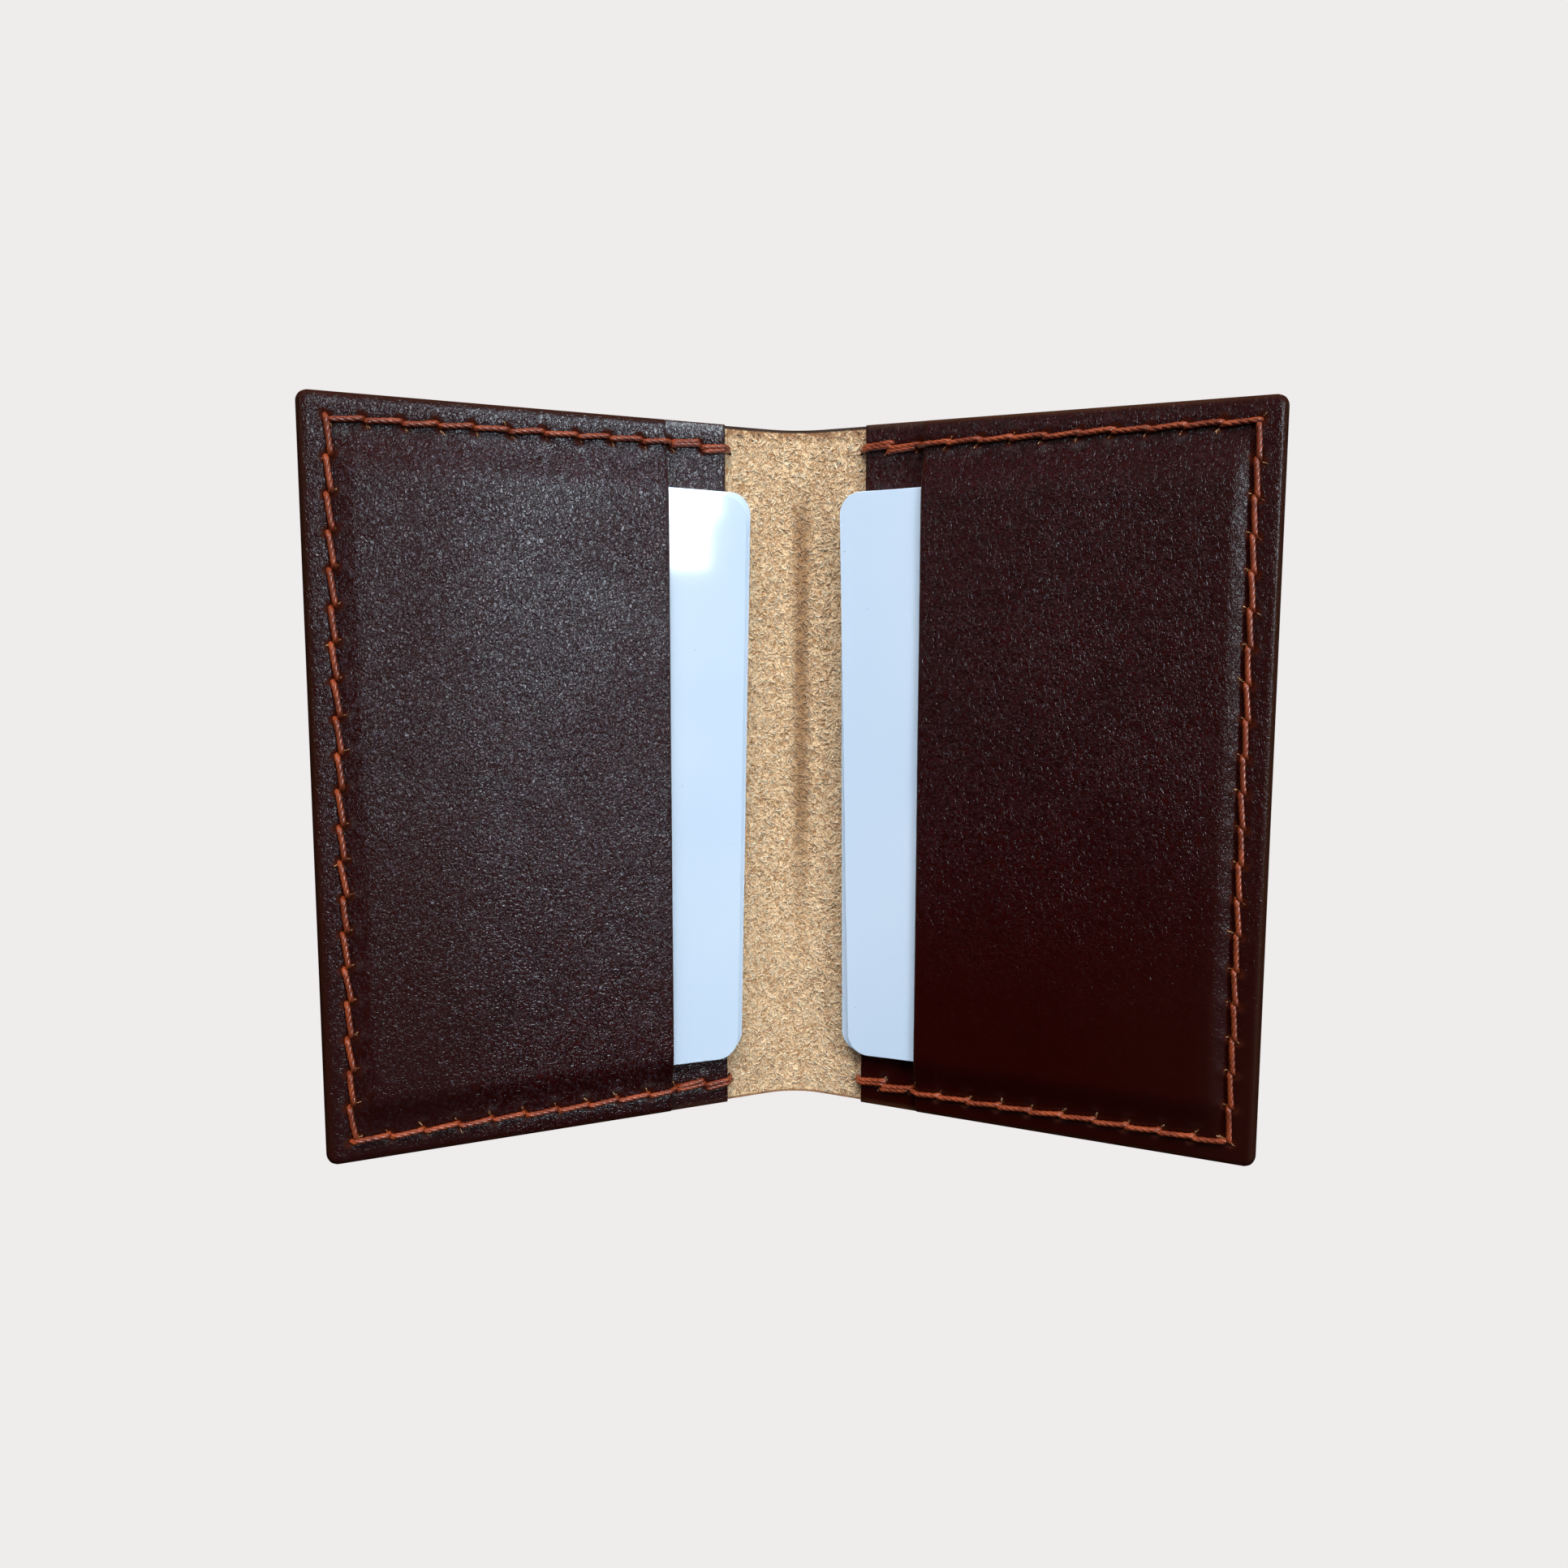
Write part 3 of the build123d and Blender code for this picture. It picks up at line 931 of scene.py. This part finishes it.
def ply_tree(material):
    tree, socket = new_tree("twisted_plies", PLY_INPUTS)
    line = add(tree, "GeometryNodeMeshToCurve", None, {0: socket["Geometry"]})
    by_length = {0: line, "Length": socket["Spacing"]}
    even = add(tree, "GeometryNodeResampleCurve", {"mode": "LENGTH"}, by_length)
    normal = add(tree, "GeometryNodeInputNormal")
    tangent = add(tree, "GeometryNodeInputTangent")
    beside = add(tree, VECTORS, {"operation": "CROSS_PRODUCT"}, {0: tangent, 1: normal})
    length = add(tree, "GeometryNodeSplineParameter", output=1)
    turn = length / socket["Pitch"] * math.tau
    round_ply = {"Resolution": 6, "Radius": socket["Ply radius"]}
    profile = add(tree, CIRCLE, None, round_ply)
    join = tree.nodes.new("GeometryNodeJoinGeometry")
    for ply in range(3):
        angle = turn + math.tau * ply / 3
        cosine = angle.math("COSINE", angle) * socket["Coil radius"]
        sine = angle.math("SINE", angle) * socket["Coil radius"]
        first = add(tree, VECTORS, {"operation": "SCALE"}, {0: normal, 3: cosine})
        second = add(tree, VECTORS, {"operation": "SCALE"}, {0: beside, 3: sine})
        offset = add(tree, VECTORS, {"operation": "ADD"}, {0: first, 1: second})
        moved = add(tree, "GeometryNodeSetPosition", None, {0: even, "Offset": offset})
        sweep = {0: moved, 1: profile, "Fill Caps": True}
        tube = add(tree, "GeometryNodeCurveToMesh", None, sweep)
        tree.links.new(tube.socket, join.inputs[0])
    end_tree(tree, Tap(tree, join.outputs[0]), material)
    return tree


PLIES = ply_tree(THREAD)


def sew(side):
    """Both halves of the thread of one cover, as one mesh."""
    points, edges = [], []
    for leads in (True, False):
        route = strand(side, leads)
        first = len(points)
        points.extend(route)
        edges.extend((first + i, first + i + 1) for i in range(len(route) - 1))
    return grow(f"saddle_thread_{side}", points, edges, PLIES, PLY_INPUTS)


SEWN = {side: sew(side) for side in SIDES}
for side in SIDES:
    report(SEWN[side])

# %% [markdown]
# ## Slits and torn lips
# Each hole is a slit that the pricking iron cut, dark inside with shade, and where the
# needle forced it the ends are torn and show pale fibres of undyed leather. A flat dark
# almond in the bottom of each dimple is a painted shadow that stands for the shade in the
# opening, and a few tiny curved slivers stand for the lips.


# %% Finishes for the holes
def gritty(name, specular, per_mm, share, dark, pale, depth_mm):
    """A dull material of two colours in fine grit."""
    finish = Finish(name, Specular_IOR_Level=specular)
    grit = finish.noise(per_mm, 2.0)
    base = finish.tint(grit.ramp(*share), dark, pale)
    normal = finish.bump(grit, depth_mm)
    return finish.set(Base_Color=base, Roughness=0.7 + grit * 0.25, Normal=normal)


SLIT_SHADOW = gritty(
    "slit_shadow", 0.1, 4.0, (0.35, 0.65), (0.006, 0.0012, 0.0008), (0.022, 0.004, 0.002), 0.05
)
TORN_FIBRE = gritty(
    "torn_fibre", 0.2, 3.0, (0.38, 0.64), (0.20, 0.075, 0.03), (0.62, 0.40, 0.21), 0.04
)


# %% Trees for the holes
SLIT_INPUTS = {"Half length": 1.0 * MM, "Half width": 0.3 * MM, "Half depth": 0.13 * MM}
LIP_INPUTS = {"Length": 0.8 * MM, "Thickness": 0.1 * MM, "Seed": 4}


def placed(tree, shape, points, size=(1, 1, 1)):
    """The shape on every point, turned as the point's own mark says."""
    mark = {"data_type": "FLOAT_VECTOR"}
    turn = add(tree, "GeometryNodeInputNamedAttribute", mark, {0: "turn"})
    angle = add(tree, "FunctionNodeEulerToRotation", None, {0: turn})
    sockets = {0: points, "Instance": shape, "Rotation": angle, "Scale": size}
    return add(tree, INSTANCES, None, sockets)


# Dark almonds that stand for the shade inside the slits: painted shadow.
def slit_tree(material):
    tree, socket = new_tree("slits", SLIT_INPUTS)
    ball = add(tree, "GeometryNodeMeshIcoSphere", None, {"Radius": 1.0, "Subdivisions": 2})
    shape = [socket[k] for k in ("Half length", "Half width", "Half depth")]
    size = add(tree, "ShaderNodeCombineXYZ", None, dict(enumerate(shape)))
    almond = add(tree, "GeometryNodeTransform", None, {0: ball, "Scale": size})
    end_tree(tree, placed(tree, almond, socket["Geometry"]), material)
    return tree


def sliver(tree, length, thickness, arch):
    """A short curved fibre of triangular section, lying along X."""
    tip = add(tree, "ShaderNodeCombineXYZ", None, {0: length})
    rise = add(tree, "ShaderNodeCombineXYZ", None, {0: length * 0.5, 2: length * arch})
    bow = {"Resolution": 3, "Start": (0, 0, 0), "Middle": rise, "End": tip}
    line = add(tree, "GeometryNodeCurveQuadraticBezier", None, bow)
    ring = add(tree, CIRCLE, None, {"Resolution": 3, "Radius": thickness})
    return add(tree, "GeometryNodeCurveToMesh", None, {0: line, 1: ring, "Fill Caps": True})


def random_size(tree, least, most, seed):
    return add(tree, RANDOM, {"data_type": "FLOAT"}, {2: least, 3: most, 8: seed}, 1)


def lip_tree(material):
    tree, socket = new_tree("torn_lips", LIP_INPUTS)
    hair = sliver(tree, socket["Length"], socket["Thickness"], 0.35)
    size = random_size(tree, 0.45, 1.15, socket["Seed"])
    end_tree(tree, placed(tree, hair, socket["Geometry"], size), material)
    return tree


SLITS, LIPS = slit_tree(SLIT_SHADOW), lip_tree(TORN_FIBRE)


# %% Place slits and lips
PANEL_MIDDLE = (40.0, HEIGHT / 2)
SLIT_UP, SLIT_UP_BACK = 0.13, 0.33


def face_turn(side, degrees, tilt=0.0):
    """Euler angles that lay X along a direction in a cover's plane, and Z out of it."""
    a = math.radians(degrees)
    origin = stand(side, 30, 50, 0)
    along = stand(side, 30 + math.cos(a), 50 + math.sin(a), 0) - origin
    outward = stand(side, 30, 50, 1) - origin
    x = Vector(along).normalized()
    z = Vector(outward).normalized()
    x = (x * math.cos(tilt) + z * math.sin(tilt)).normalized()
    z = (z - x * z.dot(x)).normalized()
    y = z.cross(x)
    return Matrix((x, y, z)).transposed().to_euler()


def open_slits(side):
    front, back, lips = [], [], []
    stray = random.Random({"left": 31, "right": 37}[side])
    faces = {"pocket": pocket_face, "underlay": underlay_face, "suede": suede_face}
    heights = {layer: face(side) for layer, face in faces.items()}
    for number, (u, z, heading) in enumerate(HOLES[side]):
        layer = "suede" if u < UNDERLAY_EDGE else "underlay" if u < POCKET_EDGE else "pocket"

        def level(pu, pz):
            return float(heights[layer](np.array([[pu]]), np.array([[pz]]))[0, 0])

        turn = face_turn(side, heading + SLIT_SLANT)
        front.append((stand(side, u, z, level(u, z) + SLIT_UP), turn))
        back.append((stand(side, u, z, SLIT_UP_BACK - SHELL_T), turn))
        if layer == "suede":
            continue

        def from_middle(end):
            return math.dist(along_slit((u, z, heading), end), PANEL_MIDDLE)

        ends = sorted((1, -1), key=from_middle)
        for end, count in zip(ends, (stray.choice((2, 3, 4, 5)), stray.choice((0, 0, 0, 1)))):
            for _ in range(count):
                at = end * stray.uniform(0.45, 0.85)
                pu, pz = along_slit((u, z, heading), at)
                pu += stray.uniform(-0.12, 0.12)
                pz += stray.uniform(-0.12, 0.12)
                way = heading + SLIT_SLANT + (0 if end > 0 else 180) + stray.uniform(-15, 15)
                spot = stand(side, pu, pz, level(pu, pz) + 0.01)
                lips.append((spot, face_turn(side, way, stray.uniform(0.05, 0.6))))
    return front + back, lips


SLIT_PIECES, LIP_PIECES = {}, {}
for side in SIDES:
    slits, lips = open_slits(side)
    for pieces, rows, tree, values, name in (
        (SLIT_PIECES, slits, SLITS, SLIT_INPUTS, "stitch_slit_shadows"),
        (LIP_PIECES, lips, LIPS, LIP_INPUTS, "torn_lips"),
    ):
        points, turns = [p for p, _ in rows], [tuple(t) for _, t in rows]
        pieces[side] = grow(f"{name}_{side}", points, [], tree, values, (), {"turn": turns})
        report(pieces[side])

# %% [markdown]
# ## Suede fibres
# The bare spine is furred with curling fibres under a millimetre long. Points scattered on
# a copy of the suede face each carry one curved sliver, laid over at a random angle. They
# are few and coarse enough to stay light, and the suede's own bump fills in between them.

# %% Fibre tree
FIBRE_INPUTS = {
    "Density": 5.0 / MM**2,
    "Length": 0.78 * MM,
    "Thickness": 0.066 * MM,
    "Seed": 9,
}


def fibre_tree(material):
    tree, socket = new_tree("suede_fibres", FIBRE_INPUTS)
    hair = sliver(tree, socket["Length"], socket["Thickness"], 0.34)
    scatter = tree.nodes.new("GeometryNodeDistributePointsOnFaces")
    for key in ("Density", "Seed"):
        tree.links.new(socket[key].socket, scatter.inputs[key])
    tree.links.new(socket["Geometry"].socket, scatter.inputs[0])
    spread = {0: (-0.5, -0.2, 0.0), 1: (0.5, 0.16, math.tau), 8: socket["Seed"]}
    spin = add(tree, RANDOM, {"data_type": "FLOAT_VECTOR"}, spread)
    turn = add(tree, "FunctionNodeEulerToRotation", None, {0: spin})
    turns = {0: Tap(tree, scatter.outputs["Rotation"]), 1: turn}
    laid = add(tree, "FunctionNodeRotateRotation", {"rotation_space": "LOCAL"}, turns)
    size = random_size(tree, 0.5, 1.25, socket["Seed"])
    points = Tap(tree, scatter.outputs[0])
    sockets = {0: points, "Instance": hair, "Rotation": laid, "Scale": size}
    end_tree(tree, add(tree, INSTANCES, None, sockets), material)
    return tree


FUR = fibre_tree(FIBRE)


def fur(side):
    """Fibres over one half of the bare spine."""
    columns = np.linspace(-SPINE_ARC, UNDERLAY_EDGE - 0.15, 16)
    u, z = np.meshgrid(columns, np.linspace(0.8, HEIGHT - 1.0, 110))
    w = suede_face(side)(u, z) - 0.02
    rows, cols = u.shape
    grid = np.arange(rows * cols).reshape(rows, cols)
    a, b, c, d = grid[:-1, :-1], grid[:-1, 1:], grid[1:, 1:], grid[1:, :-1]
    loop = (a, d, c, b) if side == "left" else (a, b, c, d)
    faces = np.stack([v.ravel() for v in loop], -1).tolist()
    points = stand(side, u.ravel(), z.ravel(), w.ravel())
    values = dict(FIBRE_INPUTS, Seed={"left": 9, "right": 14}[side])
    return grow(f"suede_fibres_{side}", points, [], FUR, values, faces)


FIBRES = {side: fur(side) for side in SIDES}
for side in SIDES:
    report(FIBRES[side])

# %% [markdown]
# ## Cards
# The blank cards are glossy white plastic of the standard size; their pale blue base colour
# is painted cool light. Each is a thin plate with round corners and a broken edge: one
# outline, repeated at a few heights and drawn in at the first and last.

# %% Card finish
# how far past the underlay's edge, middle height, tilt in degrees, layer
CARDS = {
    "card_left_front": (1.95, 50.9, 1.15, 1),
    "card_left_rear": (2.85, 51.5, 1.15, 0),
    "card_right_front": (2.5, 51.6, 1.35, 1),
    "card_right_rear": (3.2, 51.4, 0.5, 0),
}
CARD_WIDTH, CARD_HEIGHT, CARD_T, CARD_R = 53.98, 85.6, 0.76, 3.18
CARD_GAP = 0.025


def card_finish():
    finish = Finish("gloss_white_card", Specular_IOR_Level=0.5, Coat_Roughness=0.05, Coat_IOR=1.5)
    haze = finish.noise(0.03, 2.0)
    dust = finish.noise(1.3, 1.0)
    scuff = finish.noise(0.5, 3.0, place=finish.turned((0, 25, 0), (1.0, 1.0, 6.0)))
    # The pale blue base, in two hazy tones, is painted cool light on white plastic.
    base = finish.tint(haze.ramp(0.3, 0.7), (0.63, 0.785, 0.96), (0.68, 0.82, 0.98))
    base = finish.tint(dust.ramp(0.20, 0.16, 0.0, 0.5), base, (0.25, 0.2, 0.16))
    rough = 0.045 + scuff * 0.02 + haze * 0.01
    normal = finish.bump(haze, 0.12, 0.2)
    coat = 0.4 - scuff * 0.2
    return finish.set(Base_Color=base, Roughness=rough, Normal=normal, Coat_Weight=coat)


CARD = card_finish()


# %% Build the cards
def card_outline(inset):
    """Places round a card, counter-clockwise, drawn in by an inset."""
    radius = CARD_R - inset
    ring = []
    for quarter, (sx, sy) in enumerate(((1, 1), (-1, 1), (-1, -1), (1, -1))):
        for i in range(13):
            a = math.radians(90 * quarter + 90 * i / 12)
            x = sx * (CARD_WIDTH / 2 - CARD_R) + radius * math.cos(a)
            ring.append((x, sy * (CARD_HEIGHT / 2 - CARD_R) + radius * math.sin(a)))
    return np.array(ring)


def build_card(name):
    stands_out, middle, tilt, layer = CARDS[name]
    side = "left" if "_left_" in name else "right"
    low = LINER_T + CARD_GAP + layer * (CARD_T + CARD_GAP)
    centre = UNDERLAY_EDGE - stands_out + CARD_WIDTH / 2
    a = math.radians(tilt)
    profile = [(0.09, 0.0), (0.02, 0.03), (0.0, 0.1), (0.0, 0.66), (0.02, 0.73), (0.09, 0.76)]
    points, count = [], len(card_outline(0))
    for inset, rise in profile:
        x, y = card_outline(inset).T
        u = centre + x * math.cos(a) - y * math.sin(a)
        z = middle + x * math.sin(a) + y * math.cos(a)
        points.extend(stand(side, u, z, low + rise))
    faces = [list(range(count))[::-1], list(range(5 * count, 6 * count))]
    for k in range(len(profile) - 1):
        for i in range(count):
            j = (i + 1) % count
            faces.append([k * count + i, k * count + j, (k + 1) * count + j, (k + 1) * count + i])
    if side == "left":
        faces = [f[::-1] for f in faces]
    piece = new_piece(name + "_gloss", np.array(points), faces, 15)
    piece.data.materials.append(CARD)
    return piece


CARD_PIECES = {name: build_card(name) for name in CARDS}
for piece in CARD_PIECES.values():
    report(piece)

# %% [markdown]
# ## What moves with what
# The covers carry their underlay, pocket, thread and holes. The shell and its fibres keep
# their places baked into the mesh and are attached to no body; the ends of a band round the
# fold line are worked out, but nothing uses them. Each card slides in its pocket on its own
# body.

# %% Bodies
BEND_IN, BEND_OUT = -4.2, 5.6

for side in SIDES:
    cover = f"{side}_cover"
    start, end = (stand(side, u, 50, -0.7) for u in (BEND_IN, BEND_OUT))
    for piece in (SHELL[side], FIBRES[side]):
        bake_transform(piece)
    for piece in (UNDERLAY[side], POCKET[side], SEWN[side], SLIT_PIECES[side], LIP_PIECES[side]):
        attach(piece, cover)
    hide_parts("spine_strip", f"shell_panel_{side}")
    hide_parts(f"underlay_{side}")
    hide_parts(f"front_pocket_{side}")
    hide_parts(f"saddle_thread_a_{side}", f"saddle_thread_b_{side}")
for name, piece in CARD_PIECES.items():
    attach(piece, name)
    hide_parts(name)

# %% [markdown]
# ## Stage, light and camera
# The holder stands on a plain pale floor that runs into a backdrop of the same tone. A
# soft window to the right of the camera shows as a bright patch on the left card, and a
# second lamp beside it adds to the leather's sheen alone. A weak one answers from the
# left. The overhead and rear lamps fill without a reflection of their own, and mirrored
# surroundings are dimmed, because dark wax would turn grey under them.

# %% Stage
PALE = (0.863, 0.839, 0.839)
FLOOR_R, FLOOR_SIDES = 6.0, 64


def pale_stage():
    material = bpy.data.materials.new("pale_floor")
    material.use_nodes = True
    tree = material.node_tree
    tree.nodes.clear()
    glow = add(tree, "ShaderNodeEmission", None, {"Color": (*PALE, 1.0)})
    output = tree.nodes.new("ShaderNodeOutputMaterial")
    tree.links.new(glow.socket, output.inputs[0])
    around = np.linspace(0, math.tau, FLOOR_SIDES + 1)[:-1]
    ring = [(FLOOR_R * math.cos(a), FLOOR_R * math.sin(a), -0.2 * MM) for a in around]
    floor = new_piece("floor", np.array(ring), [list(range(FLOOR_SIDES))])
    floor.data.materials.append(material)
    for ray in ("visible_diffuse", "visible_glossy", "visible_shadow", "visible_transmission"):
        setattr(floor, ray, False)
    return floor


def surroundings(above, below, middle):
    """A world that is pale to the camera, and a soft gradient to the leather."""
    world = bpy.data.worlds.new("studio")
    bpy.context.scene.world = world
    world.use_nodes = True
    tree = world.node_tree
    tree.nodes.clear()
    way = add(tree, "ShaderNodeTexCoord")
    height = part_of(way, "Z")
    up = height.ramp(0.0, 0.75)
    down = height.ramp(-0.45, 0.02)
    mix = {"data_type": "RGBA"}
    tone = add(tree, "ShaderNodeMix", mix, {0: down, 6: (*below, 1), 7: (*middle, 1)}, 2)
    tone = add(tree, "ShaderNodeMix", mix, {0: up, 6: tone, 7: (*above, 1)}, 2)
    mirrored = add(tree, "ShaderNodeLightPath", output=3)
    tone = add(tree, "ShaderNodeMix", mix, {0: mirrored * 0.93, 6: tone, 7: (0, 0, 0, 1)}, 2)
    seen = add(tree, "ShaderNodeLightPath")
    tone = add(tree, "ShaderNodeMix", mix, {0: seen, 6: tone, 7: (*PALE, 1)}, 2)
    sky = add(tree, "ShaderNodeBackground", None, {"Color": tone})
    output = tree.nodes.new("ShaderNodeOutputWorld")
    tree.links.new(sky.socket, output.inputs[0])


pale_stage()
surroundings((0.30, 0.32, 0.35), (0.03, 0.025, 0.022), (0.06, 0.06, 0.065))


# %% Lights
def softbox(name, way, size, power, colour, distance=1.5, fills=True, shines=True):
    """An area light aimed at the holder, from a bearing right of the camera and a height."""
    a, e = (math.radians(v) for v in way)
    way = Vector((math.sin(a) * math.cos(e), -math.cos(a) * math.cos(e), math.sin(e)))
    data = bpy.data.lights.new(name, "AREA")
    data.shape, (data.size, data.size_y) = "RECTANGLE", size
    data.energy, data.color = power, colour
    lamp = bpy.data.objects.new(name, data)
    lamp.visible_diffuse, lamp.visible_glossy = fills, shines
    bpy.context.scene.collection.objects.link(lamp)
    lamp.location = Vector((0, 0, 0.06)) + way * distance
    lamp.rotation_euler = way.to_track_quat("Z", "Y").to_euler()
    return lamp


softbox("window_right", (37.1, 12.5), (0.36, 0.42), 8, (0.90, 0.97, 1.0))
softbox("window_sheen", (38.0, 15.5), (0.34, 0.44), 12, (0.66, 0.84, 1.0), fills=False)
softbox("window_left", (-45, 20), (0.36, 0.3), 0.9, (0.85, 0.93, 1.0))
softbox("overhead", (-4, 60), (1.3, 1.0), 32, (0.97, 0.98, 1.0), 1.4, shines=False)
softbox("behind", (165, 40), (1.0, 0.8), 10, (1.0, 0.98, 0.95), 1.4, shines=False)


# %% Camera
def stand_camera(place, yaw, pitch, roll, lens, shift):
    yaw, pitch, roll = (math.radians(v) for v in (yaw, pitch, roll))
    level = math.cos(pitch)
    ahead = Vector((math.sin(yaw) * level, math.cos(yaw) * level, -math.sin(pitch)))
    right = Vector((math.cos(yaw), -math.sin(yaw), 0))
    up = right.cross(ahead)
    c, s = math.cos(roll), math.sin(roll)
    right, up = right * c + up * s, up * c - right * s
    data = bpy.data.cameras.new("camera")
    data.sensor_width, data.lens, data.shift_x = 36.0, lens, shift
    data.clip_start, data.clip_end = 0.01, 50
    camera = bpy.data.objects.new("camera", data)
    bpy.context.scene.collection.objects.link(camera)
    turn = Matrix((right, up, -ahead)).transposed().to_4x4()
    camera.matrix_world = Matrix.Translation(Vector(place) * MM) @ turn
    bpy.context.scene.camera = camera


stand_camera((2.39, -176.25, 70.76), 0.26, 6.30, 0.23, 28.10, -0.0204)
bpy.context.scene.view_settings.view_transform = "Standard"
